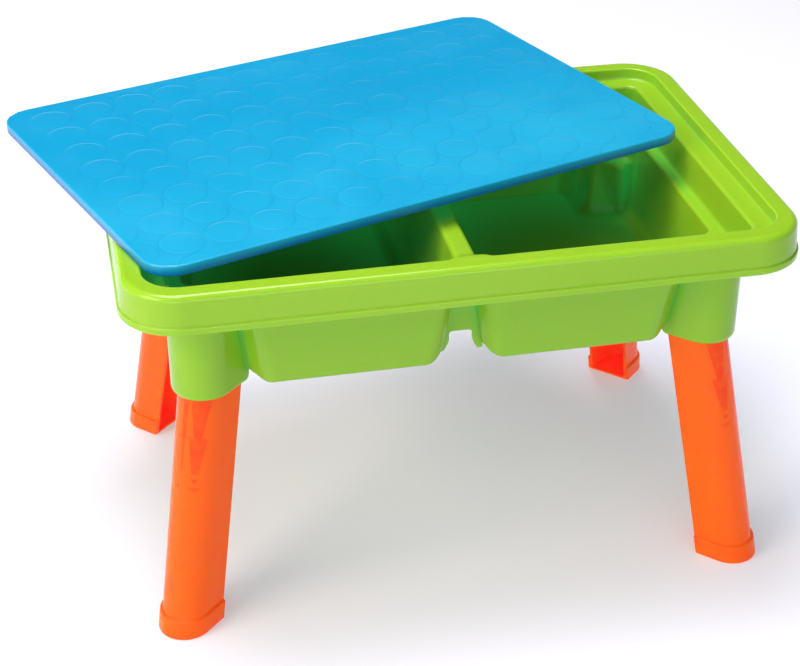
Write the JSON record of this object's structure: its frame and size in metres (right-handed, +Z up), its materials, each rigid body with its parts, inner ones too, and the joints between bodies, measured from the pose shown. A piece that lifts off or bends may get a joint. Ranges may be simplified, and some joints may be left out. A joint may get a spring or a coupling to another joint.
{
  "type": "kids table with storage",
  "caption": "Low moulded play table: a rectangular tub with divided storage bins under a lift-off lid, standing on splayed channel legs that push into corner sockets.",
  "frame": {"origin": "on the floor, under the middle of the box round the table and its lid as stored", "axes": "+X along the table's length towards the right end, +Y across it towards the back, +Z up"},
  "size_m": [0.5139, 0.4186, 0.2787],
  "materials": {
    "tub_plastic": "smooth moulded polypropylene, soft gloss, apple green",
    "lid_plastic": "smooth moulded polypropylene, soft gloss, sky blue",
    "leg_plastic": "smooth moulded polypropylene, soft gloss, orange"
  },
  "bodies": {
    "table": {"tub": "tub_plastic", "leg_front_left": "leg_plastic", "leg_front_right": "leg_plastic", "leg_rear_left": "leg_plastic", "leg_rear_right": "leg_plastic"},
    "lid": {"lid": "lid_plastic"}
  },
  "joints": [
    {"name": "lid_lift", "type": "slide", "parent": "table", "child": "lid", "axis": [0, 0, 1], "range_m": [0, 0.2]}
  ]
}
